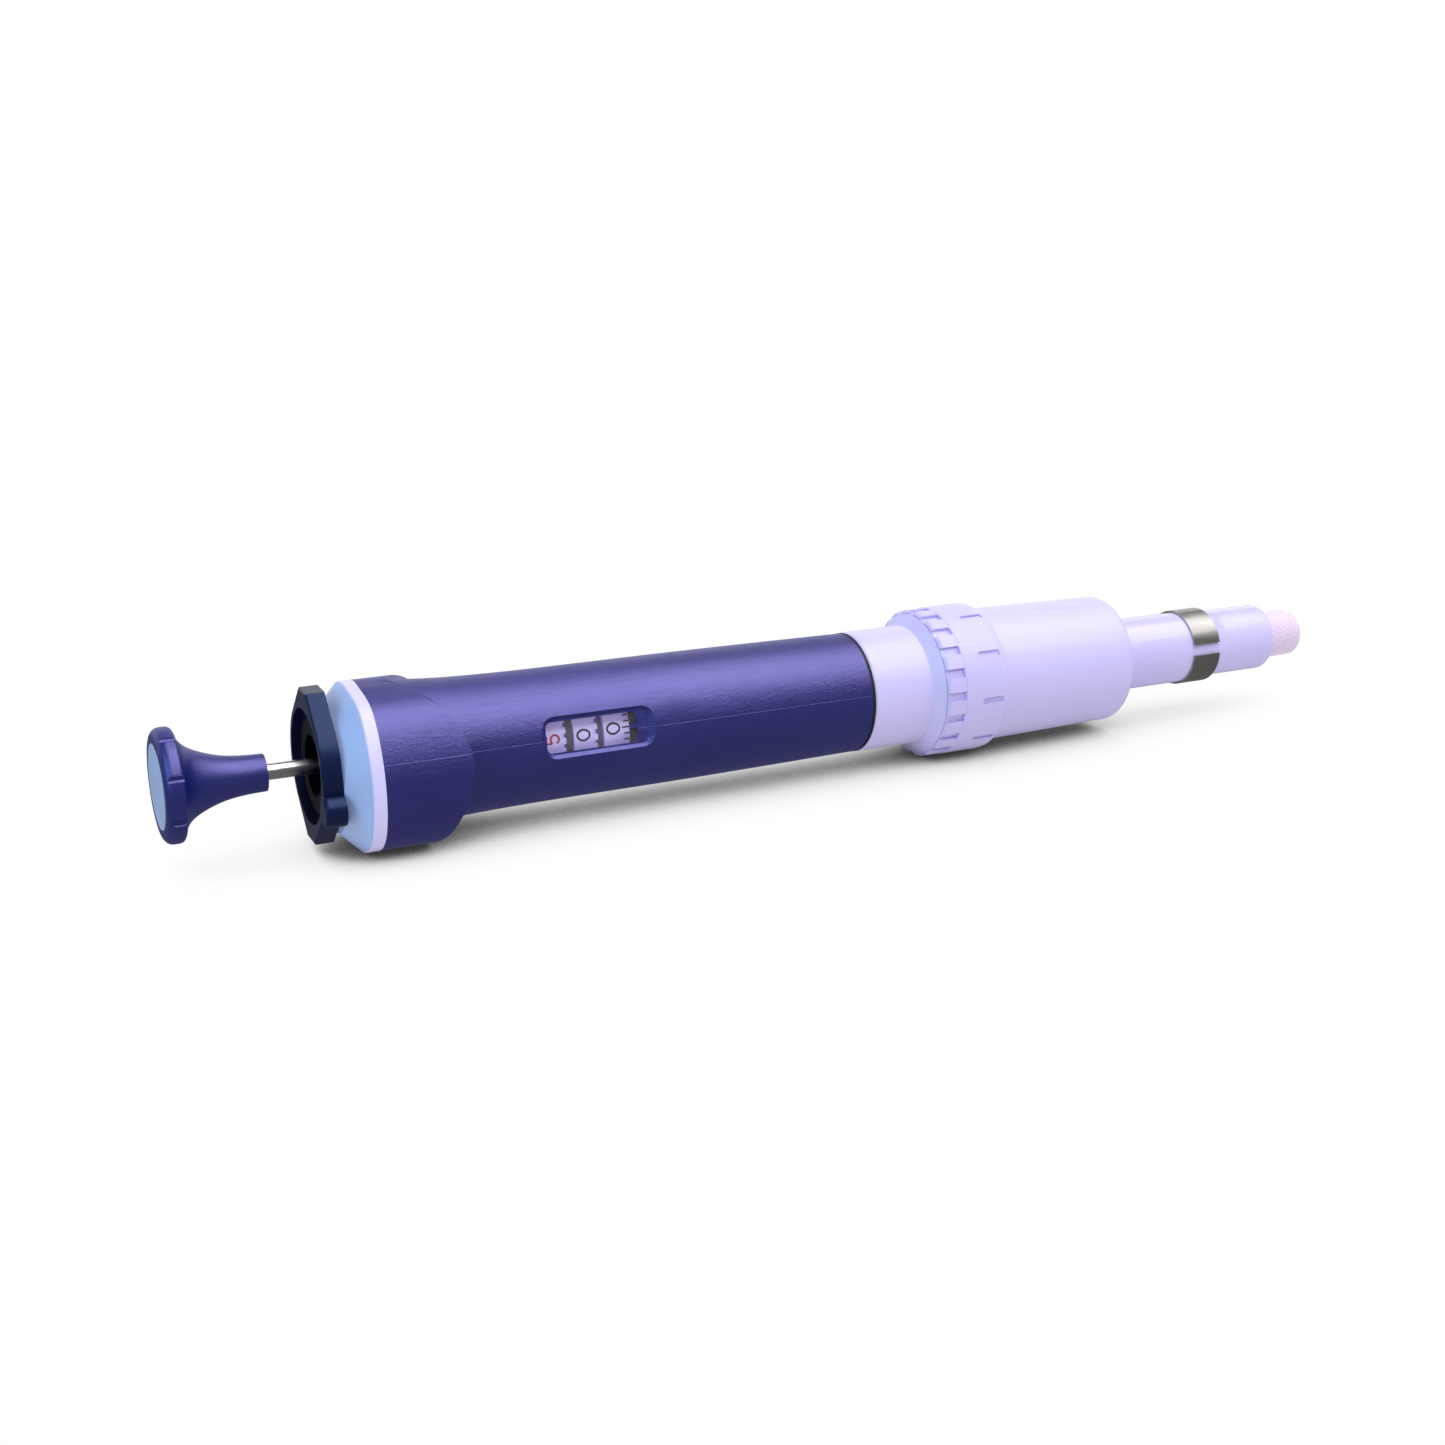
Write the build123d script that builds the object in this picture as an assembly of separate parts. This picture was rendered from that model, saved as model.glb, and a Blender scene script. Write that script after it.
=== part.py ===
"""Variable-volume macro pipette, one STEP file per piece, in millimetres.

The pipette lies along X: the tip cone points to +X and the push button to -X, with +Z up.
The origin is on the axis at the front end of the tip cone's seating land.
Stations along the pipette are counted from a datum beside the handle's lower end, positive towards the tip.
Angles round the axis are 0 at the front (-Y) and 90 at the top (+Z).
"""
import os
from math import acos, atan2, cos, hypot, sin

from build123d import *

os.makedirs("parts", exist_ok=True)

# Driving dimensions
HANDLE_END = -106.0      # X of the stations' datum
HANDLE_EDGE = 0.5        # lower edge of the handle
RUN = 0.05               # radial clearance of a running fit
STROKE = 15.5            # piston travel for the full volume
OVERSTROKE = 3.0         # further travel that blows out the last drop
TRAVEL = STROKE + OVERSTROKE

# Button and rod
BUTTON_FACE = -138.0
BUTTON_NECK = -118.9
BUTTON_R = 10.5
INSERT_R = 7.8
INSERT_DEPTH = 1.6
INSERT_DOME = 0.6
ROD_R = 1.5
ROD_FLAT = 1.2           # distance of the rod's drive flats from its axis
ROD_END = -18.5
RIM_NOTCHES = 8

# Handle
HEAD_TOP = -101.0        # joint between cap and handle
CAP_FACE = -107.5
CAP_BEVEL = 4.3
HANDLE_BORE = 11.05
ROD_HOLE = 5.8
BOSS_R = 7.0
BOSS_FRONT = -109.45
BUSH_FLANGE = (-110.1, 8.6)       # face and radius of the neck bush's flange
NECK_BUSH_R = 6.4
WINDOW_ANGLE = 13.5
WINDOW = (-69.0, -50.4, 5.9)      # start, end and width of the opening
RECESS = (-68.4, -48.6, 6.5)      # start, end and width of the recess's floor
RECESS_FLOOR = 11.6
RECESS_FLARE = 53.0      # slope of the recess's walls, in degrees from upright

# Lock ring
RING_FRONT = -111.3
RING_FLOOR = -109.4
RING_BACK = -107.65
RING_R = 12.1
RING_RECESS_R = 10.8
LOBE_R = 14.4
LOBE_WIDTH = 5.2
LOBE_LENGTH = 3.6
TAB_R = 3.0
TAB_AXIS_R = 12.6
TAB_ANGLE = -24.0

# Counter
DRUM_R = 9.2
DRUM_CORE_R = 7.9
DRUM_TEETH = 28
DRUM_BODY = 4.0
DRUM_TOOTH = 0.8
HUNDREDS_START = -68.9
TENS_START = -62.5
UNITS_START = -56.4
UNITS_END = -51.2
PINION_R = 1.2
PINION_AXIS_R = DRUM_R + PINION_R + 0.1
PINION_ANGLE = WINDOW_ANGLE + 180.0

# Volume drive
BUSH_R = 3.4
BUSH_START = -95.0
BUSH_END = -28.0
SPINDLE_R = 5.4
SPINDLE_START = -50.5
SPINDLE_END = -40.3

# Piston and springs
PISTON_ROD_R = 3.0
COLLAR_START = -26.0
PISTON_R = 10.05
CYLINDER_BORE = 10.15
PISTON_TOP = 34.5
PISTON_FACE = 42.5
FLANGE_START = -22.5
FLANGE_R = 8.5
WASHER_FACE = -20.5 + STROKE
SEAT_RIM = 9.0
SEAT_BASE = 18.0

# Lower half
GASKET = 0.6             # thickness of the gasket between handle and sleeve
SLEEVE_R = 12.35
SLEEVE_BORE = 10.6
THREAD_R = 14.4
NUT_START = 16.4
NUT_END = 31.0
NUT_R = 15.45
NUT_LIP_R = 14.06
CASTLE_NOTCHES = 20
GRIP_SLOTS = 10
NOTCH_PHASE = 3.0
CYLINDER_TOP_R = 14.0
CYLINDER_END_R = 13.42
CYLINDER_END = 64.0
NECK_R = 7.75
CONE_FRONT = 107.0
LAND_START = 94.0
LAND_R = 7.2
CLIP_START = 83.9
CLIP_END = 90.8
CLIP_R = 8.2
CLIP_INNER_R = 7.5
CLIP_GAP_ANGLE = 8.0
FILTER_R = 5.2
FILTER_SEAT = 100.5
FILTER_END = 116.7


def turned(*outline):
    """Solid of revolution about the pipette's axis, from (station, radius) points."""
    points = [(HANDLE_END + station, radius) for station, radius in outline]
    return revolve(make_face(Polyline(*points, close=True)), Axis.X, 360)


def turned_smooth(curve, inner):
    """Solid of revolution under a smooth curve of (station, radius) points, down to the radius inner."""
    points = [(HANDLE_END + station, radius) for station, radius in curve]
    start, end = points[0][0], points[-1][0]
    sides = Polyline(points[-1], (end, inner), (start, inner), points[0])
    return revolve(make_face(Spline(*points) + sides), Axis.X, 360)


def tube(start, end, outer, inner=0.0):
    return turned((start, inner), (end, inner), (end, outer), (start, outer))


def ring(station, radius, thickness):
    """O-ring of round section about the pipette's axis."""
    section = Pos(HANDLE_END + station, radius, 0) * Circle(thickness)
    return revolve(section, Axis.X, 360)


def radial_box(station, angle, radius, length, width, height):
    """Box whose height points outwards from the axis at an angle."""
    return Rot(-angle, 0, 0) * Pos(HANDLE_END + station, -radius, 0) * Box(length, height, width)


def axial_pin(start, end, radius, angle, axis_r):
    """Cylinder parallel to the pipette's axis."""
    pin = Rot(0, 90, 0) * Cylinder(radius, end - start)
    return Rot(-angle, 0, 0) * Pos(HANDLE_END + (start + end) / 2, -axis_r, 0) * pin


def rounded_slot(start, end, width, corner, inner, outer, flare=0.0):
    """Block with rounded corners that points outwards at the window, between two radii."""
    outline = RectangleRounded(end - start, width, corner)
    block = extrude(outline, outer - inner, taper=-flare)
    upright = Pos(HANDLE_END + (start + end) / 2, -inner, 0) * Rot(90, 0, 0) * block
    return Rot(-WINDOW_ANGLE, 0, 0) * upright


def coil(start, end, radius, wire, turns):
    """Compression spring between two stations."""
    height = end - start - 2 * wire
    path = Helix(pitch=height / turns, height=height, radius=radius)
    section = Plane(origin=path @ 0, z_dir=path % 0) * Circle(wire)
    return Pos(HANDLE_END + start + wire, 0, 0) * Rot(0, 90, 0) * sweep(section, path=path, is_frenet=True)


def edges_at(solid, station):
    """Edges that lie in one plane across the axis."""
    x = HANDLE_END + station
    return solid.edges().filter_by_position(Axis.X, x - 0.01, x + 0.01)


def push_button():
    flare = [(BUTTON_NECK, 3.45), (-122.5, 3.6), (-126.5, 4.15), (-130.0, 5.3), (-132.8, 6.9), (-134.4, 9.6)]
    neck = turned_smooth(flare[::-1], 0)
    rim = tube(BUTTON_FACE, -134.4, BUTTON_R)
    rim = fillet(edges_at(rim, BUTTON_FACE), 1.7)
    rim = fillet(edges_at(rim, -134.4), 1.0)
    body = rim + neck
    body -= tube(BUTTON_FACE - 1, BUTTON_FACE + INSERT_DEPTH, INSERT_R + RUN)
    body -= tube(-133.0, BUTTON_NECK + 1, ROD_R)
    for i in range(RIM_NOTCHES):
        body -= axial_pin(BUTTON_FACE - 1, -133.0, 0.7, 360 / RIM_NOTCHES * (i + 0.5), BUTTON_R + 0.25)
    return body


def button_insert():
    disc = tube(BUTTON_FACE - INSERT_DOME, BUTTON_FACE + INSERT_DEPTH, INSERT_R)
    dome_r = (INSERT_R ** 2 + INSERT_DOME ** 2) / (2 * INSERT_DOME)
    return disc & Pos(HANDLE_END + BUTTON_FACE - INSERT_DOME + dome_r, 0, 0) * Sphere(dome_r)


def rod_flats(start, end, flat):
    """Two slabs that cut drive flats on a round rod or leave them in a round bore."""
    slab = radial_box((start + end) / 2, 90, flat + 5, end - start, 20, 10)
    return slab + mirror(slab, Plane.XY)


def operating_rod():
    return tube(-133.0, ROD_END, ROD_R) - rod_flats(-52.0, -25.0, ROD_FLAT)


def lobed_disc():
    """Outline of the lock ring: a round disc drawn out into a flat lobe at the top and at the bottom."""
    corner = (LOBE_WIDTH / 2, LOBE_R)
    reach = hypot(*corner)
    touch = atan2(corner[0], corner[1]) + acos(RING_R / reach)
    tangent = (RING_R * sin(touch), RING_R * cos(touch))
    half = [corner, tangent, (tangent[0], -tangent[1]), (corner[0], -corner[1])]
    other = [(-y, z) for y, z in half[::-1]]
    return Plane.YZ * (Circle(RING_R) + make_face(Polyline(*(half + other), close=True)))


def lock_ring():
    lobes = Pos(HANDLE_END + RING_FRONT, 0, 0) * extrude(lobed_disc(), LOBE_LENGTH)
    lobes = fillet(edges_at(lobes, RING_FRONT), 0.4)
    tab = axial_pin(RING_FRONT - 0.2, RING_BACK, TAB_R, TAB_ANGLE, TAB_AXIS_R)
    tab = fillet(edges_at(tab, RING_FRONT - 0.2), 0.7)
    solid = lobes + tube(RING_FRONT + 1, RING_BACK, RING_R) + tab
    solid -= tube(RING_FRONT - 1, RING_FLOOR, RING_RECESS_R)
    return solid - tube(RING_FLOOR - 1, RING_BACK + 1, BOSS_R + RUN)


def head_outline():
    """Outline of the handle's top end: round above, widened and flattened below for the finger rest."""
    side = [(0, 14.1), (9.2, 11.9), (14.3, 5.6), (16.3, -3.5), (13.9, -11.4), (7.4, -15.6), (0, -16.5)]
    other = [(-y, z) for y, z in side[-2:0:-1]]
    wire = Spline(*(side + other), periodic=True)
    return Plane.YZ * make_face(wire)


def finger_rest():
    """Head of the handle, ending in an arched edge towards the grip."""
    block = Pos(HANDLE_END + HEAD_TOP, 0, 0) * extrude(head_outline(), 20)
    arch = [(-99.5, 14.4), (-92.0, 13.3), (-87.0, 9.6), (-84.4, 2.5), (-86.3, -7.0), (-91.5, -18.5)]
    points = [(HANDLE_END + station, z) for station, z in arch]
    left = HANDLE_END + HEAD_TOP - 1
    edge = Spline(*points) + Polyline(points[-1], (left, -18.5), (left, 14.4), points[0])
    side = extrude(Plane.XZ * make_face(edge), 20, both=True)
    return block & side


def handle_body():
    curve = [(HEAD_TOP, 14.1), (-96.0, 14.1), (-88.7, 13.5), (-78.0, 12.97), (-60.0, 12.75), (-40.0, 12.68),
             (-20.0, 12.48), (HANDLE_EDGE, 12.2)]
    solid = turned_smooth(curve, 0) + finger_rest()
    solid -= tube(HEAD_TOP - 1, HANDLE_EDGE + 1, HANDLE_BORE)
    solid -= rounded_slot(*RECESS, 1.2, RECESS_FLOOR, 13.6, RECESS_FLARE)
    solid -= rounded_slot(*WINDOW, 1.2, 8, 16)
    solid += radial_box(-51.0, WINDOW_ANGLE + 1, 11.58, 2.0, 0.8, 0.3)
    pinion_room = axial_pin(-66.0, -50.0, PINION_R + 0.1, PINION_ANGLE, PINION_AXIS_R)
    return solid - pinion_room


def handle_cap():
    plate = Pos(HANDLE_END + CAP_FACE, 0, 0) * extrude(head_outline(), HEAD_TOP - CAP_FACE)
    plate = chamfer(edges_at(plate, CAP_FACE), CAP_BEVEL)
    spigot = tube(HEAD_TOP, HEAD_TOP + 3, HANDLE_BORE)
    boss = tube(BOSS_FRONT, CAP_FACE, BOSS_R)
    return plate + spigot + boss - tube(BOSS_FRONT - 1, HEAD_TOP + 4, NECK_BUSH_R)


def neck_bush():
    """Flanged bush that the button's neck slides into and that keeps the lock ring on its boss."""
    flange_front, flange_r = BUSH_FLANGE
    lining = tube(BOSS_FRONT, HEAD_TOP + 3, NECK_BUSH_R, ROD_HOLE)
    return lining + tube(flange_front, BOSS_FRONT, flange_r, ROD_HOLE)


def window_lens():
    start, end, width = WINDOW
    return rounded_slot(start, end, width, 1.2, HANDLE_BORE, HANDLE_BORE + 0.35)


def drum(start, body_end, end):
    """Number drum with a ring of teeth on the side that faces the tip."""
    solid = tube(start, end, DRUM_R, DRUM_CORE_R + RUN)
    middle = (body_end + end) / 2 + 0.01
    for i in range(DRUM_TEETH):
        solid -= radial_box(middle, 360 / DRUM_TEETH * i, DRUM_R, end - body_end, 0.9, 1.6)
    return solid


def drum_hundreds():
    return drum(HUNDREDS_START, HUNDREDS_START + DRUM_BODY, HUNDREDS_START + DRUM_BODY + DRUM_TOOTH)


def drum_tens():
    return drum(TENS_START, TENS_START + DRUM_BODY, TENS_START + DRUM_BODY + DRUM_TOOTH)


def drum_units():
    shell = tube(UNITS_START, UNITS_END, DRUM_R, DRUM_CORE_R + RUN)
    web = tube(UNITS_END - 1.2, UNITS_END, DRUM_CORE_R + 0.5, BUSH_R)
    return shell + web


def counter_frame():
    """Fixed core that carries the two slow drums, with the flange that holds it in the handle."""
    flange = tube(-73.0, -70.4, HANDLE_BORE, BUSH_R + 0.3)
    core = tube(-70.4, UNITS_START - 0.6, DRUM_CORE_R, DRUM_CORE_R - 1.0)
    return flange + core


def drum_spacers():
    """Two thin rings between the drums."""
    drum_end = DRUM_BODY + DRUM_TOOTH
    first = tube(HUNDREDS_START + drum_end + 0.15, TENS_START - 0.15, DRUM_R - 0.4, DRUM_CORE_R)
    second = tube(TENS_START + drum_end + 0.15, UNITS_START - 0.3, DRUM_R - 0.4, DRUM_CORE_R)
    return Compound([first, second])


def pinion(station):
    """Small transfer pinion with eight teeth, loose on the pinion axle."""
    solid = axial_pin(station - 1.5, station + 1.5, PINION_R, PINION_ANGLE, PINION_AXIS_R)
    solid -= axial_pin(station - 2, station + 2, 0.5 + RUN, PINION_ANGLE, PINION_AXIS_R)
    for i in range(8):
        groove = Pos(HANDLE_END + station, -PINION_R, 0) * Box(4, 0.5, 0.3)
        turned_groove = Rot(45 * i, 0, 0) * groove
        solid -= Rot(-PINION_ANGLE, 0, 0) * Pos(0, -PINION_AXIS_R, 0) * turned_groove
    return solid


def pinion_low():
    return pinion(UNITS_START - 0.4)


def pinion_high():
    return pinion(TENS_START - 0.4)


def pinion_axle():
    return axial_pin(-70.4, -50.0, 0.5, PINION_ANGLE, PINION_AXIS_R)


def drive_bush():
    """Tube round the rod; flats in its lower end make it turn with the rod."""
    solid = tube(BUSH_START, BUSH_END, BUSH_R) + tube(BUSH_START, BUSH_START + 2, 6.0)
    bore = tube(BUSH_START - 1, BUSH_END + 1, ROD_R + RUN)
    return solid - (bore - rod_flats(BUSH_END - 5, BUSH_END + 1, ROD_FLAT + RUN))


def upper_bearing():
    """Plate that holds the drive bush's flange under the cap."""
    return turned((-98.0, 5.4), (-98.0, HANDLE_BORE), (-91.5, HANDLE_BORE), (-91.5, BUSH_R + RUN),
                  (-92.9, BUSH_R + RUN), (-92.9, 6.1), (-95.1, 6.1), (-95.1, 5.4))


def stop_spindle():
    """Threaded sleeve that screws down towards the piston rod's collar to lower the rest stop."""
    solid = tube(SPINDLE_START, SPINDLE_END, SPINDLE_R, BUSH_R + RUN)
    for i in range(6):
        start = SPINDLE_START + 0.6 + 1.6 * i
        solid -= tube(start, start + 0.6, SPINDLE_R + 1, SPINDLE_R - 0.4)
    return solid


def spindle_nut():
    solid = tube(-48.0, -38.0, HANDLE_BORE, SPINDLE_R + RUN)
    return solid - tube(-46.0, -40.0, HANDLE_BORE + 1, 9.0)


def piston_rod():
    """Piston rod with its stop collar and the flange that takes the return spring."""
    solid = tube(COLLAR_START, 40.0, PISTON_ROD_R)
    solid += tube(COLLAR_START, FLANGE_START, 5.0)
    solid += tube(FLANGE_START, FLANGE_START + 2, FLANGE_R)
    return solid - tube(COLLAR_START - 1, ROD_END, ROD_R)


def piston_head():
    solid = tube(PISTON_TOP, PISTON_FACE, PISTON_R)
    solid -= tube(PISTON_TOP - 1, 40.0, PISTON_ROD_R)
    solid -= tube(36.0, 38.0, PISTON_R + 1, 8.4)
    return solid - tube(39.0, 41.4, PISTON_R + 1, 7.75)


def piston_seal():
    return tube(36.0, 38.0, CYLINDER_BORE - 0.03, 8.4)


def piston_o_ring():
    return ring(40.2, 8.94, 1.18)


def blow_out_washer():
    return tube(WASHER_FACE, WASHER_FACE + 1.5, 10.3, 7.9)


def blow_out_spring():
    return coil(WASHER_FACE + 1.5, SEAT_RIM, 9.4, 0.5, 5)


def return_spring():
    return coil(FLANGE_START + 2, SEAT_BASE, 6.9, 0.6, 10)


def spring_seat():
    """Cup in the sleeve: its rim carries the blow-out spring and its floor the return spring."""
    return turned((SEAT_RIM, 8.2), (SEAT_RIM, SLEEVE_BORE), (20.5, SLEEVE_BORE), (20.5, PISTON_ROD_R + RUN),
                  (SEAT_BASE, PISTON_ROD_R + RUN), (SEAT_BASE, 8.2))


def lower_sleeve():
    """Tube that plugs into the handle, with a conical shoulder before the coupling thread."""
    top = HANDLE_EDGE + GASKET
    shell = turned((-16.0, 9.0), (-16.0, HANDLE_BORE), (top, HANDLE_BORE), (top, SLEEVE_R - 0.3),
                   (top + 0.5, SLEEVE_R), (14.4, SLEEVE_R), (16.3, 14.6), (16.3, THREAD_R), (24.0, THREAD_R),
                   (24.0, SLEEVE_BORE), (WASHER_FACE, SLEEVE_BORE), (WASHER_FACE, 9.0))
    for i in range(4):
        start = 18.3 + 1.5 * i
        shell -= tube(start, start + 0.6, THREAD_R + 1, THREAD_R - 0.4)
    return shell


def end_gasket():
    return tube(HANDLE_EDGE, HANDLE_EDGE + GASKET, 12.25, HANDLE_BORE)


def coupling_nut():
    solid = turned((NUT_START, THREAD_R + RUN), (28.1, THREAD_R + RUN), (28.1, NUT_LIP_R), (NUT_END, NUT_LIP_R),
                   (NUT_END, NUT_R - 0.9), (NUT_END - 0.8, NUT_R - 0.2), (NUT_END - 2, NUT_R),
                   (NUT_START + 4.3, NUT_R), (NUT_START + 4.2, NUT_R - 0.1), (NUT_START + 0.5, NUT_R - 0.1),
                   (NUT_START, NUT_R - 0.6))
    for i in range(CASTLE_NOTCHES):
        angle = 360 / CASTLE_NOTCHES * i + NOTCH_PHASE
        solid -= radial_box(NUT_START + 1.9, angle, NUT_R, 4.4, 1.9, 1.6)
    for i in range(GRIP_SLOTS):
        slot = radial_box(NUT_END - 4.0, 360 / GRIP_SLOTS * i - NOTCH_PHASE, NUT_R, 5.0, 1.3, 1.0)
        solid -= fillet(slot.edges().filter_by(Axis.X, reverse=True), 0.3)
    return solid


def cylinder_cone():
    """Air cylinder and tip cone in one moulding."""
    outside = [(24.05, CYLINDER_BORE), (24.05, THREAD_R - 0.05), (28.0, THREAD_R - 0.05), (28.0, CYLINDER_TOP_R),
               (31.0, CYLINDER_TOP_R), (CYLINDER_END, CYLINDER_END_R), (CYLINDER_END, NECK_R), (CLIP_START, NECK_R),
               (CLIP_START, CLIP_INNER_R), (CLIP_END, CLIP_INNER_R), (91.2, 7.5), (LAND_START, LAND_R),
               (CONE_FRONT, LAND_R)]
    inside = [(CONE_FRONT, FILTER_R), (FILTER_SEAT, FILTER_R), (FILTER_SEAT, 2.5), (62.0, 2.5), (62.0, CYLINDER_BORE)]
    solid = turned(*outside, *inside)
    solid = fillet(edges_at(solid, CYLINDER_END).sort_by(SortBy.RADIUS)[-1], 1.5)
    front = edges_at(solid, CONE_FRONT).sort_by(SortBy.RADIUS)[-1]
    solid = fillet(front, 1.0)
    return solid - tube(24.0, 25.6, 13.3, 11.5)


def cylinder_o_ring():
    return ring(24.84, 12.4, 0.75)


def tip_grip_ring():
    """Spring-steel C-ring in the groove of the cone, open at the front."""
    solid = tube(CLIP_START, CLIP_END, CLIP_R, CLIP_INNER_R)
    return solid - radial_box((CLIP_START + CLIP_END) / 2, CLIP_GAP_ANGLE, CLIP_R, 10, 2.4, 4)


def filter_plug():
    solid = turned((FILTER_SEAT, 0), (FILTER_END, 0), (FILTER_END, FILTER_R - 0.15), (CONE_FRONT, FILTER_R),
                   (FILTER_SEAT, FILTER_R))
    return fillet(edges_at(solid, FILTER_END), 1.0)


PIECES = [push_button, button_insert, operating_rod, lock_ring, handle_cap, neck_bush, handle_body, window_lens,
          drum_hundreds, drum_tens, drum_units, counter_frame, drum_spacers, pinion_low, pinion_high, pinion_axle,
          drive_bush, upper_bearing, stop_spindle, spindle_nut, piston_rod, piston_head, piston_seal, piston_o_ring,
          blow_out_washer, blow_out_spring, return_spring, spring_seat, lower_sleeve, end_gasket, coupling_nut,
          cylinder_cone, cylinder_o_ring, tip_grip_ring, filter_plug]

for piece in PIECES:
    export_step(piece(), f"parts/{piece.__name__}.step")
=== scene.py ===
"""Looks of a variable-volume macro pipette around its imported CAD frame. Metres, tip towards +X."""
from math import atan2, cos, degrees, radians, sin

import bmesh
import bpy
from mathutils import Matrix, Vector


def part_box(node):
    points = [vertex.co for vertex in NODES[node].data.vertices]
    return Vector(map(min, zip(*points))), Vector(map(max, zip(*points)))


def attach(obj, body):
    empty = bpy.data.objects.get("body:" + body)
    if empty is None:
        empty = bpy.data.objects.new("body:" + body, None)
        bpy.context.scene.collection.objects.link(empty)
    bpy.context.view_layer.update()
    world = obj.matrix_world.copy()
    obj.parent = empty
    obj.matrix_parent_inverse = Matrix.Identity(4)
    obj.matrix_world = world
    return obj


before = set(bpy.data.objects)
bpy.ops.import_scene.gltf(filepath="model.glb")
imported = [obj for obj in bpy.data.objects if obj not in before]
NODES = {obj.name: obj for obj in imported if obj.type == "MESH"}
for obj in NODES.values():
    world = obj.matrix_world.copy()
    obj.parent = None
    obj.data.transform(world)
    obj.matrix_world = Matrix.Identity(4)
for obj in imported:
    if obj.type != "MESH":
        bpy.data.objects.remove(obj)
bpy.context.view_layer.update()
MM = 0.001

# Taken from the CAD frame
HANDLE_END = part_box("handle_body")[1].x - 0.5 * MM
DRUM_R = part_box("drum_tens")[1].z

# Stations along the axis, in millimetres from the CAD model's datum
CAP_BEVEL_START = -103.4
HUNDREDS_MIDDLE = -66.8
TENS_MIDDLE = -60.6
UNITS_MIDDLE = -54.5
GRADUATIONS_END = -51.25
POLISH_START = 66
HEAD_REST = -95
NUT_REST = 23

# The counter: angles in degrees, sizes in metres
WINDOW_ANGLE = 13.5
DIGIT_STEP = 36.0
TICKS_PER_DIGIT = 5
HUNDREDS_LAG = 3.5
TENS_LAG = 2.9
NUMERAL_HEIGHT = 2.5 * MM
NUMERAL_WIDTH = 1.75 * MM
STROKE_WEIGHT = 0.42 * MM
INK_LIFT = 0.01 * MM
STROKE_FLATTENING = 0.15
TICK, LONG_TICK = 1.1 * MM, 1.5 * MM
TICK_HALF_WIDTH = 0.15 * MM
TICK_SUNK, TICK_PROUD = 0.05 * MM, 0.03 * MM

# The ridge between two mould halves: how steeply its plane rises towards the front, and how wide it is
PARTING_SLOPE = sin(radians(11.5))
PARTING_WIDTH = 0.14 * MM

# The floor's painted shadow: it glows less where something stands close above it: how far that reaches, and
# (openness, glow) steps
SHADOW_REACH = 70 * MM
FLOOR_GLOW_WITH_PAINTED_SHADOW = ((0.1, 0.03), (0.2, 0.2), (0.33, 0.68), (0.5, 0.88), (0.7, 1.0))
FLOOR_HALF_SIZE = 4.0
FLOOR_GAP = 0.05 * MM
WALL_DISTANCE, WALL_FOOT, WALL_TOP = 4.2, -0.3, 3.0
WORLD_STRENGTH = 0.18

# The camera: turn towards the tip and drop in degrees, focal length in image widths
CAMERA_TURN = 25.47
CAMERA_DROP = 17.2
CAMERA_STATION = -187.8
CAMERA_FRONT = -337.1 * MM
CAMERA_HEIGHT = 112.8 * MM
FOCAL_LENGTH = 1950 / 1445
SENSOR_MM = 36.0

WHITE = (1.0, 1.0, 1.0)

# Strokes of the numerals, in a box from -1 to 1
NUMERAL_STROKES = {
    0: [("loop", [(0, 1), (-0.98, 0.5), (-0.98, -0.5), (0, -1), (0.98, -0.5), (0.98, 0.5)])],
    1: [("line", [(-0.5, 0.5), (0.1, 1), (0.1, -1)])],
    2: [("arc", [(-0.9, 0.5), (0, 1), (0.85, 0.45), (0.2, -0.25), (-0.95, -1)]),
        ("line", [(-0.95, -1), (0.95, -1)])],
    3: [("arc", [(-0.85, 0.7), (0, 1), (0.8, 0.5), (0, 0.1)]),
        ("arc", [(0, 0.1), (0.95, -0.4), (0, -1), (-0.9, -0.65)])],
    4: [("line", [(0.4, -1), (0.4, 1), (-0.95, -0.4), (0.95, -0.4)])],
    5: [("line", [(0.8, 1), (-0.75, 1), (-0.85, 0.15)]),
        ("arc", [(-0.85, 0.15), (0.2, 0.3), (0.95, -0.35), (0.1, -1), (-0.9, -0.7)])],
    6: [("arc", [(0.7, 0.95), (-0.55, 0.5), (-0.95, -0.35), (0, -1), (0.95, -0.4), (0, 0.2),
                 (-0.85, -0.15)])],
    7: [("line", [(-0.9, 1), (0.9, 1), (-0.2, -1)])],
    8: [("loop", [(0, 1), (-0.75, 0.5), (0, 0.05), (0.75, 0.5)]),
        ("loop", [(0, 0.05), (-0.95, -0.45), (0, -1), (0.95, -0.45)])],
    9: [("arc", [(-0.7, -0.95), (0.55, -0.5), (0.95, 0.35), (0, 1), (-0.95, 0.4), (0, -0.2),
                 (0.85, 0.15)])],
}


def station(s):
    """X of a station counted in millimetres from the CAD model's datum near the handle's lower end."""
    return HANDLE_END + s * MM


def around(x, radius, angle):
    """Point at a radius and an angle: 0 is the front (-Y), 90 the top (+Z)."""
    a = radians(angle)
    return Vector((x, -radius * cos(a), radius * sin(a)))


# ---------------------------------------------------------------- materials

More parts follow.
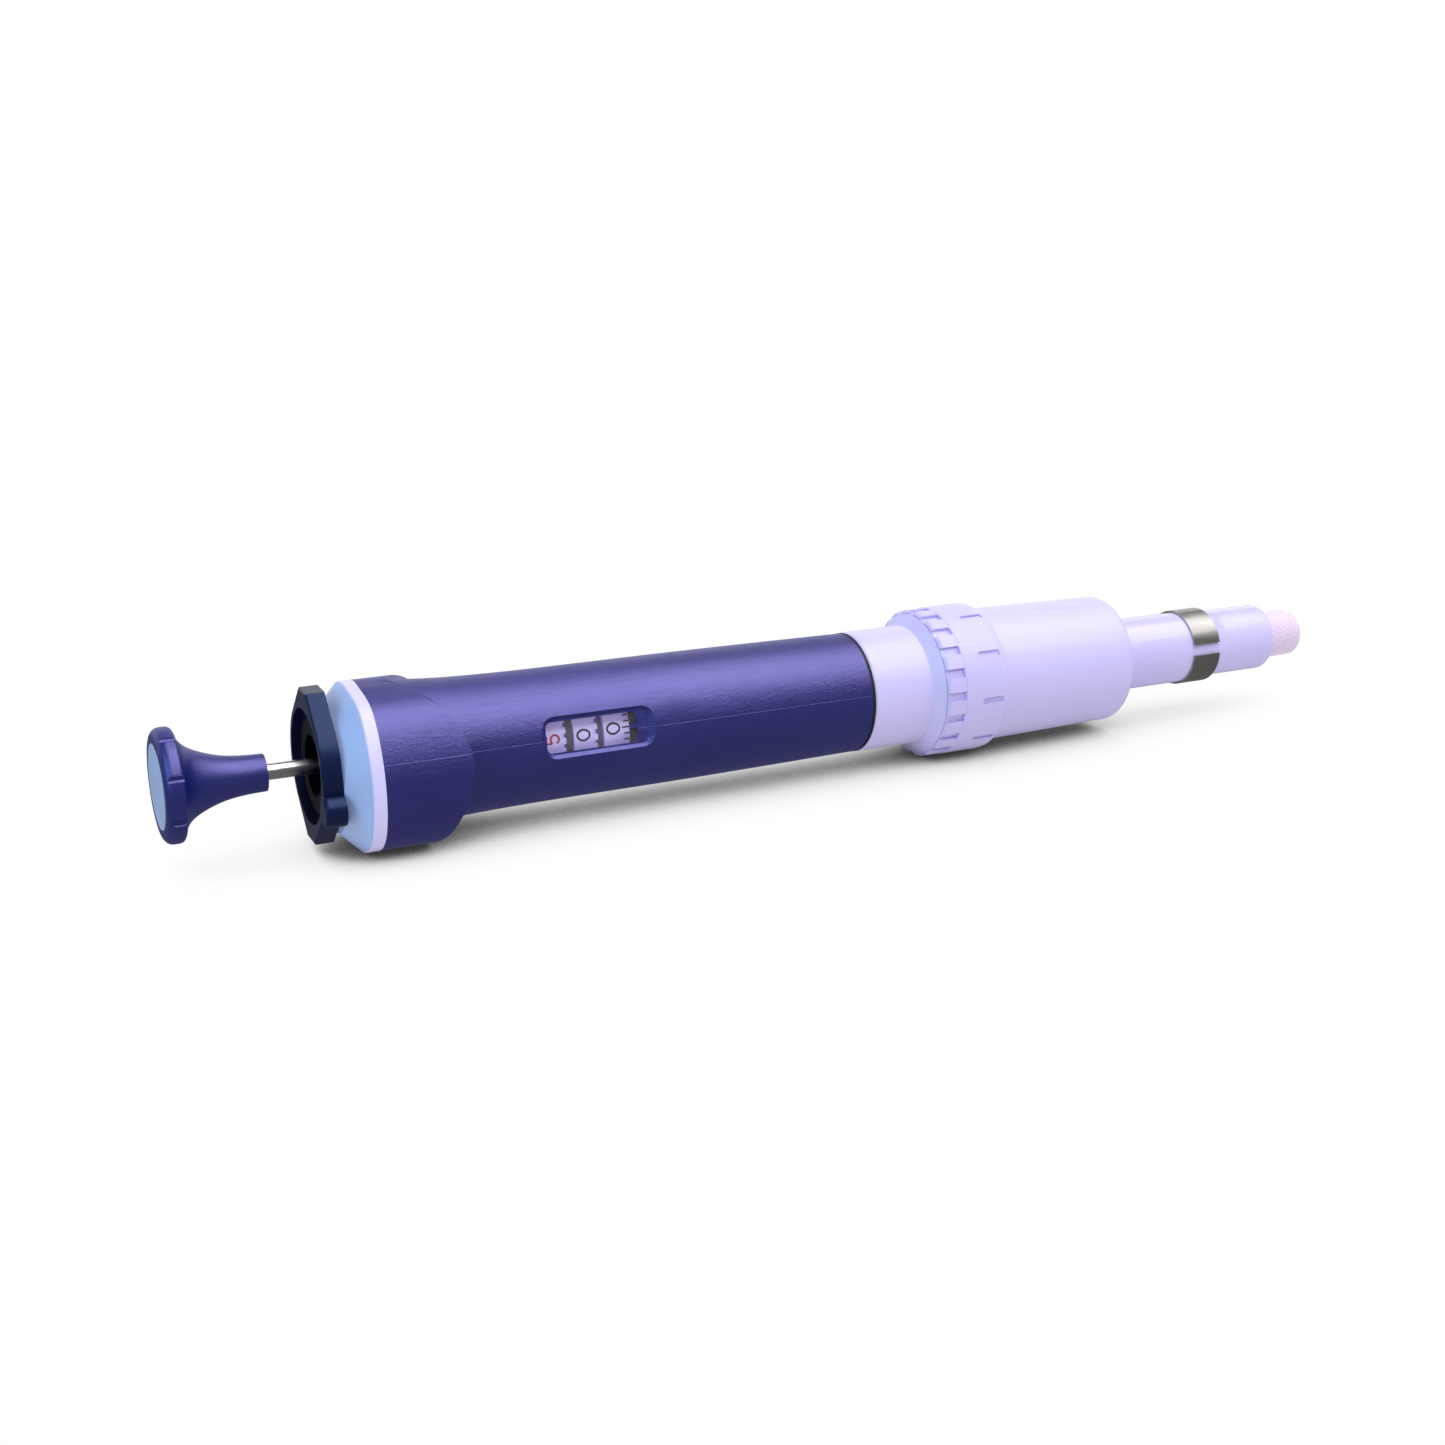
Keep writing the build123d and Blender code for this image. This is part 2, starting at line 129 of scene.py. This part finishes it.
class Shader:
    """A small helper that builds one node material."""

    def __init__(self, name):
        self.material = bpy.data.materials.new(name)
        self.material.use_nodes = True
        self.tree = self.material.node_tree
        self.bsdf = self.tree.nodes["Principled BSDF"]
        self.coords = self.add("ShaderNodeTexCoord").outputs["Object"]

    def add(self, kind, **inputs):
        node = self.tree.nodes.new(kind)
        for key, value in inputs.items():
            node.inputs[key].default_value = value
        return node

    def link(self, source, target):
        self.tree.links.new(source, target)

    def set(self, **values):
        for key, value in values.items():
            self.bsdf.inputs[key.replace("_", " ")].default_value = value

    def axis(self, name):
        """One object coordinate, X, Y or Z, in metres."""
        split = self.add("ShaderNodeSeparateXYZ")
        self.link(self.coords, split.inputs["Vector"])
        return split.outputs[name]

    def noise(self, scale, detail=3.0, stretch=(1, 1, 1), roughness=0.5):
        """Noise in object space; scale is cells per metre."""
        mapping = self.add("ShaderNodeMapping", Scale=stretch)
        self.link(self.coords, mapping.inputs["Vector"])
        node = self.add("ShaderNodeTexNoise", Scale=scale, Detail=detail, Roughness=roughness)
        self.link(mapping.outputs["Vector"], node.inputs["Vector"])
        return node.outputs["Fac"]

    def spread(self, value, low, high, start=0.3, end=0.7):
        """Maps a value between start and end to one between low and high, and clamps it there."""
        limits = {"From Min": start, "From Max": end, "To Min": low, "To Max": high}
        node = self.add("ShaderNodeMapRange", **limits)
        self.link(value, node.inputs["Value"])
        return node.outputs["Result"]

    def ramp(self, value, *stops):
        """Colour ramp from (position, colour) stops."""
        node = self.add("ShaderNodeValToRGB")
        band = node.color_ramp
        while len(band.elements) < len(stops):
            band.elements.new(0.5)
        for element, (position, colour) in zip(band.elements, stops):
            element.position = position
            element.color = (*colour, 1.0)
        self.link(value, node.inputs["Fac"])
        return node.outputs["Color"]

    def math(self, operation, a, b):
        """Result of a maths node on two values or sockets."""
        node = self.add("ShaderNodeMath")
        node.operation = operation
        for socket, value in zip(node.inputs, (a, b)):
            if isinstance(value, (int, float)):
                socket.default_value = value
            else:
                self.link(value, socket)
        return node.outputs["Value"]

    def mix(self, factor, a, b):
        """Blend from one colour to another; each is a tuple or a socket."""
        node = self.add("ShaderNodeMix")
        node.data_type = "RGBA"
        first_colour, second_colour, mixed_colour = node.inputs[6], node.inputs[7], node.outputs[2]
        self.link(factor, node.inputs["Factor"])
        for socket, value in ((first_colour, a), (second_colour, b)):
            if isinstance(value, tuple):
                socket.default_value = (*value, 1.0)
            else:
                self.link(value, socket)
        return mixed_colour

    def colour(self, socket):
        self.link(socket, self.bsdf.inputs["Base Color"])

    def rough(self, socket):
        self.link(socket, self.bsdf.inputs["Roughness"])

    def bump(self, *layers):
        """Stacked bumps from (height, distance in metres, strength) layers."""
        normal = None
        for height, distance, strength in layers:
            node = self.add("ShaderNodeBump", Distance=distance, Strength=strength)
            self.link(height, node.inputs["Height"])
            if normal is not None:
                self.link(normal, node.inputs["Normal"])
            normal = node.outputs["Normal"]
        self.link(normal, self.bsdf.inputs["Normal"])


def shade(colour, factor):
    """Makes a colour lighter or darker."""
    return tuple(c * factor for c in colour)


def parting_line(s, slope):
    """Height of the thin ridge that two mould halves leave along a part, in a plane through its axis."""
    plane = s.math("ADD", s.axis("Z"), s.math("MULTIPLY", s.axis("Y"), slope))
    return s.spread(s.math("ABSOLUTE", plane, 0.0), 1.0, 0.0, 0.0, PARTING_WIDTH)


def moulded(name, colour, roughness=0.4, grain=0.02 * MM, scratches=0.25, contrast=0.12, sss=0.0,
            sheen=WHITE, gloss=0.5, ior=1.5, sparkle=0.0, parting=None, painted_shade_finish=None, painted_light=None,
            polished=None):
    """Moulded plastic: faint flow marks, spark-eroded grain, handling scratches, and a tint of its shine.

    Contrast is the strength of the flow marks, sss of light inside the plastic, and sparkle of a coarser
    grain. Parting is the slope of the mould's parting line. The finish argument may repaint part of the
    surface and leave a painted shade on the rest, a faint glow of painted light may stand in for light
    falling on the part, and polished is the X beyond which the surface is smoother.
    """
    s = Shader(name)
    flow = s.noise(90, 4, (0.35, 1, 1))
    speck = s.noise(2600, 2)
    grain_height = s.noise(4200, 3)
    fine_scratch = s.noise(700, 2, (0.12, 3.0, 3.0))
    surface = s.ramp(flow, (0.25, shade(colour, 1 - contrast)), (0.75, shade(colour, 1 + contrast)))
    s.colour(painted_shade_finish(s, surface) if painted_shade_finish else surface)
    base = s.spread(flow, roughness - 0.05, roughness + 0.06)
    scratch = s.spread(fine_scratch, 0.0, scratches * 0.25, 0.62, 0.72)
    rough = s.math("ADD", base, scratch)
    if polished is not None:
        dull = s.math("LESS_THAN", s.axis("X"), polished)
        rough = s.math("MULTIPLY", rough, s.spread(dull, 0.4, 1.0, 0.0, 1.0))
    s.rough(rough)
    layers = [(grain_height, grain, 0.6), (fine_scratch, 0.01 * MM, scratches), (speck, 0.006 * MM, 0.3)]
    if sparkle:
        layers.append((s.noise(1500, 6, (0.6, 1, 1), 0.75), 0.25 * MM, sparkle))
    if parting is not None:
        layers.append((parting_line(s, parting), 0.06 * MM, 0.7))
    s.bump(*layers)
    s.set(Specular_Tint=(*sheen, 1.0), Specular_IOR_Level=gloss, IOR=ior)
    # Painted light: an emission that stands in for light falling on the part.
    if painted_light:
        s.set(Emission_Color=(*painted_light, 1.0), Emission_Strength=1.0)
    if sss:
        s.set(Subsurface_Weight=sss, Subsurface_Scale=2 * MM, Subsurface_Radius=(1.0, 0.8, 1.2))
    return s.material


def shade_painted_two_tone(limit, colour):
    """Repaints the surface on the tip's side of a place along the axis; on the cap the button's side stays a
    painted shade, darker and bluer.
    """
    def painted_shade_finish(s, surface):
        return s.mix(s.math("GREATER_THAN", s.axis("X"), limit), surface, colour)
    return painted_shade_finish


def metal(name, colour, roughness, stretch):
    """Turned or drawn metal with fine lines; stretch is smallest along the lines."""
    s = Shader(name)
    lines = s.noise(900, 4, stretch, 0.6)
    cloud = s.noise(160, 3)
    s.colour(s.ramp(cloud, (0.3, shade(colour, 0.86)), (0.7, colour)))
    s.rough(s.math("ADD", s.spread(lines, roughness - 0.05, roughness + 0.1), s.spread(cloud, 0.0, 0.06)))
    s.bump((lines, 0.012 * MM, 0.5))
    s.set(Metallic=1.0)
    return s.material


def rubber(name, colour):
    """Dull rubber with a fine grain."""
    s = Shader(name)
    cloud = s.noise(300, 4)
    s.colour(s.ramp(cloud, (0.3, shade(colour, 0.7)), (0.7, shade(colour, 1.4))))
    s.rough(s.spread(cloud, 0.6, 0.8))
    s.bump((s.noise(5000, 2), 0.02 * MM, 0.5))
    return s.material


def porous(name, colour):
    """Sintered plastic: fused grains with open pores."""
    s = Shader(name)
    cells = s.add("ShaderNodeTexVoronoi", Scale=2600.0)
    s.link(s.coords, cells.inputs["Vector"])
    pores = s.spread(cells.outputs["Distance"], 1.0, 0.0, 0.15, 0.75)
    # Painted shade: the colour darkens in the creases between the grains, where the bump sinks.
    s.colour(s.ramp(pores, (0.0, shade(colour, 0.86)), (0.6, colour)))
    s.rough(s.spread(pores, 0.85, 0.6, 0.0, 1.0))
    s.bump((pores, 0.06 * MM, 0.55), (s.noise(900, 4), 0.04 * MM, 0.4))
    s.set(Subsurface_Weight=0.35, Subsurface_Scale=1.5 * MM)
    return s.material


def clear_lens(name):
    """Thin clear plastic, nearly invisible but for its faint violet shine."""
    s = Shader(name)
    smear = s.noise(400, 3, (0.3, 1, 1))
    s.colour(s.ramp(smear, (0.3, (0.85, 0.88, 1.0)), (0.7, WHITE)))
    s.rough(s.spread(smear, 0.03, 0.12))
    s.set(Alpha=0.03, IOR=1.49, Specular_Tint=(0.6, 0.55, 1.0, 1.0), Specular_IOR_Level=0.15)
    return s.material


def printed_ink(name, colour):
    """Slightly worn print."""
    s = Shader(name)
    wear = s.noise(1800, 3)
    s.colour(s.ramp(wear, (0.3, shade(colour, 0.8)), (0.7, shade(colour, 1.25))))
    s.rough(s.spread(wear, 0.4, 0.6))
    s.set(Specular_IOR_Level=0.2)
    return s.material


def dress(node, material):
    """Gives a CAD node its material."""
    obj = NODES[node]
    obj.data.materials.clear()
    obj.data.materials.append(material)


def paint_nodes():
    """Gives every CAD node its material."""
    violet = (0.47, 0.42, 1.0)
    lavender = moulded("lavender_plastic", (0.63, 0.58, 0.96), 0.36, contrast=0.02, scratches=0.2, sss=0.08,
                       polished=station(POLISH_START))
    nut = moulded("nut_plastic", (0.61, 0.56, 0.95), 0.42, contrast=0.02, scratches=0.3, sss=0.08)
    handle = moulded("handle_plastic", (0.003, 0.009, 0.120), 0.34, grain=0.04 * MM, scratches=0.6,
                     sheen=violet, gloss=1.0, ior=1.9, sparkle=0.5, parting=PARTING_SLOPE)
    button = moulded("button_plastic", (0.003, 0.010, 0.120), 0.36, scratches=0.5, sheen=violet, gloss=0.9,
                     ior=1.9, sparkle=0.3)
    ring = moulded("lock_ring_plastic", (0.003, 0.006, 0.040), 0.34, scratches=0.4, sheen=(0.4, 0.55, 1.0))
    # Nearly black: painted shade for the dark hole in the middle of the lock ring, where the neck bush shows.
    bush = moulded("bush_plastic_painted_shade", (0.001, 0.001, 0.003), 0.6, sheen=(0.5, 0.5, 0.6), gloss=0.2)
    insert = moulded("insert_plastic", (0.42, 0.52, 0.80), 0.35, contrast=0.05)
    # The cap's face is painted shade: a darker, bluer copy of the lavender that its bevel strip keeps.
    cap = moulded("cap_plastic", (0.38, 0.50, 0.84), 0.38, contrast=0.02,
                  painted_shade_finish=shade_painted_two_tone(station(CAP_BEVEL_START), (0.69, 0.63, 1.0)))
    # The drums' faint blue glow is painted light: it stands in for light reaching them down in the counter
    # window.
    drum_white = moulded("drum_plastic", (0.78, 0.66, 1.0), 0.45, contrast=0.02, scratches=0.1,
                         painted_light=(0.03, 0.02, 0.13))
    # Dark grey plastic, darkened past its own colour as painted shade for the hollow behind the counter
    # window.
    grey = moulded("frame_plastic", (0.07, 0.065, 0.12), 0.45)
    steel = metal("rod_steel", (0.72, 0.71, 0.74), 0.2, (0.05, 1, 1))
    spring = metal("spring_steel", (0.66, 0.63, 0.60), 0.3, (1, 0.3, 0.3))
    brass = metal("machined_brass", (0.76, 0.58, 0.26), 0.25, (1, 0.1, 0.1))
    ptfe = moulded("ptfe", (0.85, 0.85, 0.85), 0.5, contrast=0.02, sss=0.3)
    gasket = rubber("gasket_rubber", (0.008, 0.008, 0.016))
    o_ring = rubber("o_ring_rubber", (0.02, 0.02, 0.02))
    clip = metal("clip_steel", (0.48, 0.45, 0.44), 0.30, (0.15, 1, 1))
    # Brass painted nearly black: painted shade for the spindle deep in the handle, seen past the drums.
    dark_painted_brass = metal("brass_painted_dark", (0.05, 0.04, 0.04), 0.5, (1, 0.1, 0.1))
    lens = clear_lens("lens_plastic")
    filter_plastic = porous("filter_plastic", (0.80, 0.68, 0.90))
    looks = {
        lavender: ("lower_sleeve", "cylinder_cone", "piston_head"),
        nut: ("coupling_nut",),
        handle: ("handle_body",),
        button: ("push_button",),
        ring: ("lock_ring",),
        bush: ("neck_bush", "upper_bearing"),
        insert: ("button_insert",),
        cap: ("handle_cap",),
        drum_white: ("drum_hundreds", "drum_tens", "drum_units"),
        grey: ("counter_frame", "drum_spacers", "pinion_low", "pinion_high", "spindle_nut",
               "spring_seat"),
        steel: ("operating_rod", "piston_rod", "pinion_axle", "blow_out_washer"),
        spring: ("return_spring", "blow_out_spring"),
        clip: ("tip_grip_ring",),
        brass: ("drive_bush",),
        dark_painted_brass: ("stop_spindle",),
        ptfe: ("piston_seal",),
        gasket: ("end_gasket",),
        o_ring: ("piston_o_ring", "cylinder_o_ring"),
        lens: ("window_lens",),
        filter_plastic: ("filter_plug",),
    }
    for material, names in looks.items():
        for name in names:
            dress(name, material)


# ---------------------------------------------------------------- extra pieces

def mesh_object(name, mesh, material, body):
    """A piece of its own that moves with a body."""
    obj = bpy.data.objects.new(name, mesh)
    bpy.context.scene.collection.objects.link(obj)
    mesh.materials.append(material)
    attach(obj, body)
    return obj


def numeral(digit, height, width, weight):
    """Mesh of one numeral drawn with strokes of even weight, with its top towards +Y."""
    curve = bpy.data.curves.new("numeral", "CURVE")
    curve.dimensions = "3D"
    curve.bevel_depth = weight / 2
    curve.bevel_resolution = 1
    curve.use_fill_caps = True
    curve.resolution_u = 6
    for kind, points in NUMERAL_STROKES[digit]:
        spline = curve.splines.new("BEZIER")
        spline.bezier_points.add(len(points) - 1)
        for knot, (x, y) in zip(spline.bezier_points, points):
            knot.co = (x * width / 2, y * height / 2, 0)
            knot.handle_left_type = knot.handle_right_type = "VECTOR" if kind == "line" else "AUTO"
        spline.use_cyclic_u = kind == "loop"
    obj = bpy.data.objects.new("numeral", curve)
    bpy.context.scene.collection.objects.link(obj)
    depsgraph = bpy.context.evaluated_depsgraph_get()
    mesh = bpy.data.meshes.new_from_object(obj.evaluated_get(depsgraph))
    bpy.data.objects.remove(obj)
    return mesh


def wrap(mesh, x, angle, radius):
    """Flattens a numeral and bends it round the axis; its top points to -X and its left side down."""
    for v in mesh.vertices:
        across, up, raised = v.co
        v.co = around(x - up, radius + STROKE_FLATTENING * raised, angle + degrees(across / radius))


def number_band(name, x, shown, lag, body, material):
    """The ten numerals of a drum, with the shown one in the window, lag degrees late."""
    bm = bmesh.new()
    for digit in range(10):
        mesh = numeral(digit, NUMERAL_HEIGHT, NUMERAL_WIDTH, STROKE_WEIGHT)
        wrap(mesh, x, WINDOW_ANGLE - lag + DIGIT_STEP * (digit - shown), DRUM_R + INK_LIFT)
        bm.from_mesh(mesh)
    mesh = bpy.data.meshes.new(name)
    bm.to_mesh(mesh)
    return mesh_object(name, mesh, material, body)


def bar(bm, x0, x1, angle, half_width, r0, r1):
    """Small block between two radii, parallel to the axis."""
    corners = []
    for x in (x0, x1):
        for r in (r0, r1):
            spread = degrees(half_width / r)
            corners += [around(x, r, angle - spread), around(x, r, angle + spread)]
    v = [bm.verts.new(c) for c in corners]
    for face in ((0, 1, 3, 2), (4, 6, 7, 5), (0, 4, 5, 1), (2, 3, 7, 6), (0, 2, 6, 4), (1, 5, 7, 3)):
        bm.faces.new([v[i] for i in face])


def graduations(material):
    """Ticks at the units drum's lower edge, a longer one at each numeral."""
    bm = bmesh.new()
    end = station(GRADUATIONS_END)
    for i in range(10 * TICKS_PER_DIGIT):
        length = LONG_TICK if i % TICKS_PER_DIGIT == 0 else TICK
        angle = WINDOW_ANGLE + DIGIT_STEP / TICKS_PER_DIGIT * i
        bar(bm, end - length, end, angle, TICK_HALF_WIDTH, DRUM_R - TICK_SUNK, DRUM_R + TICK_PROUD)
    mesh = bpy.data.meshes.new("units_graduations")
    bmesh.ops.recalc_face_normals(bm, faces=bm.faces)
    bm.to_mesh(mesh)
    return mesh_object("units_graduations", mesh, material, "volume_drive")


def counter_marks():
    """The counter's numerals, which read 5 0 0, and the graduations beside them."""
    black = printed_ink("black_ink", (0.004, 0.003, 0.015))
    red = printed_ink("red_ink", (0.45, 0.005, 0.03))
    number_band("hundreds_numerals", station(HUNDREDS_MIDDLE), 5, HUNDREDS_LAG, "hundreds", red)
    number_band("tens_numerals", station(TENS_MIDDLE), 0, TENS_LAG, "tens", black)
    number_band("units_numerals", station(UNITS_MIDDLE), 0, 0.0, "volume_drive", black)
    graduations(black)


# ---------------------------------------------------------------- stage

def shadow_painted_paper(name):
    """White sheet that glows evenly, with a painted shadow where something stands close above it."""
    s = Shader(name)
    openness = s.add("ShaderNodeAmbientOcclusion", Distance=SHADOW_REACH).outputs["AO"]
    # Painted shadow: the glow drops where ambient occlusion finds something close above.
    painted_light = s.ramp(openness, *((place, shade(WHITE, level)) for place, level in FLOOR_GLOW_WITH_PAINTED_SHADOW))
    s.link(painted_light, s.bsdf.inputs["Emission Color"])
    s.set(Base_Color=(0.0, 0.0, 0.0, 1.0), Roughness=0.95, Emission_Strength=1.0, Specular_IOR_Level=0.0)
    return s.material


def stage_plane(name, corners, material):
    """A flat sheet of the stage, which isn't part of the pipette."""
    mesh = bpy.data.meshes.new(name)
    mesh.from_pydata(corners, [], [(0, 1, 2, 3)])
    mesh.materials.append(material)
    obj = bpy.data.objects.new(name, mesh)
    bpy.context.scene.collection.objects.link(obj)
    return obj


def floor():
    """Pale sheet under the finger rest and the coupling nut, on which the pipette lies.

    It isn't seen in reflections.
    """
    head = Vector((station(HEAD_REST), 0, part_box("handle_body")[0].z))
    nut = Vector((station(NUT_REST), 0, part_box("coupling_nut")[0].z))
    tilt = atan2(nut.z - head.z, nut.x - head.x)
    size = FLOOR_HALF_SIZE
    corners = [(-size, -size, 0), (size, -size, 0), (size, size, 0), (-size, size, 0)]
    # The floor's shadows are painted into its glow.
    obj = stage_plane("floor", corners, shadow_painted_paper("floor_white_painted_shadow"))
    obj.visible_glossy = False
    obj.location = head - Vector((0, 0, FLOOR_GAP))
    obj.rotation_euler = (0, -tilt, 0)


def backdrop():
    """White walls far round the pipette; only the one behind it lights it or is seen in reflections."""
    far = WALL_DISTANCE
    white = Shader("backdrop_white")
    white.set(Base_Color=(0.0, 0.0, 0.0, 1.0), Roughness=0.95, Specular_IOR_Level=0.0)
    white.set(Emission_Color=(*WHITE, 1.0), Emission_Strength=1.0)
    corners = [(-far, far, WALL_FOOT), (far, far, WALL_FOOT), (far, far, WALL_TOP), (-far, far, WALL_TOP)]
    for side in range(4):
        obj = stage_plane(f"backdrop_{side}", corners, white.material)
        obj.rotation_euler = (0, 0, radians(90 * side))
        obj.visible_glossy = obj.visible_diffuse = side == 0


def area_light(name, place, target, size, power, colour):
    """Rectangular lamp that points at a target; size in metres, power in watts."""
    data = bpy.data.lights.new(name, "AREA")
    data.shape = "RECTANGLE"
    data.size, data.size_y = size
    data.energy = power
    data.color = colour
    obj = bpy.data.objects.new(name, data)
    bpy.context.scene.collection.objects.link(obj)
    obj.location = place
    obj.rotation_euler = (Vector(target) - Vector(place)).to_track_quat("-Z", "Y").to_euler()


def lights():
    """A dim white world, a softbox overhead, a long thin key light and a blue light at the button's end."""
    world = bpy.data.worlds.new("studio")
    bpy.context.scene.world = world
    world.use_nodes = True
    background = world.node_tree.nodes["Background"]
    background.inputs["Color"].default_value = (*WHITE, 1.0)
    background.inputs["Strength"].default_value = WORLD_STRENGTH
    middle = (station(-20), 0, 0)
    area_light("softbox", (0.2, -0.15, 0.78), (0.2, 0, 0), (1.0, 0.94), 9.2, WHITE)
    area_light("key", (station(-60), -0.6, 0.65), middle, (0.9, 0.02), 1.4, WHITE)
    area_light("side", (station(-480), -0.12, 0.22), (station(-100), 0, 0), (0.2, 0.3), 0.7, (0.3, 0.72, 1.0))


def camera():
    """Camera at the viewing angle: a little above the pipette and turned towards its tip."""
    turn, drop = radians(CAMERA_TURN), radians(CAMERA_DROP)
    data = bpy.data.cameras.new("camera")
    data.sensor_width = SENSOR_MM
    data.lens = SENSOR_MM * FOCAL_LENGTH
    obj = bpy.data.objects.new("camera", data)
    bpy.context.scene.collection.objects.link(obj)
    obj.location = (station(CAMERA_STATION), CAMERA_FRONT, CAMERA_HEIGHT)
    look = Vector((sin(turn) * cos(drop), cos(turn) * cos(drop), -sin(drop)))
    obj.rotation_euler = look.to_track_quat("-Z", "Y").to_euler()
    bpy.context.scene.camera = obj


paint_nodes()
counter_marks()
floor()
backdrop()
lights()
camera()
bpy.context.scene.view_settings.view_transform = "Standard"
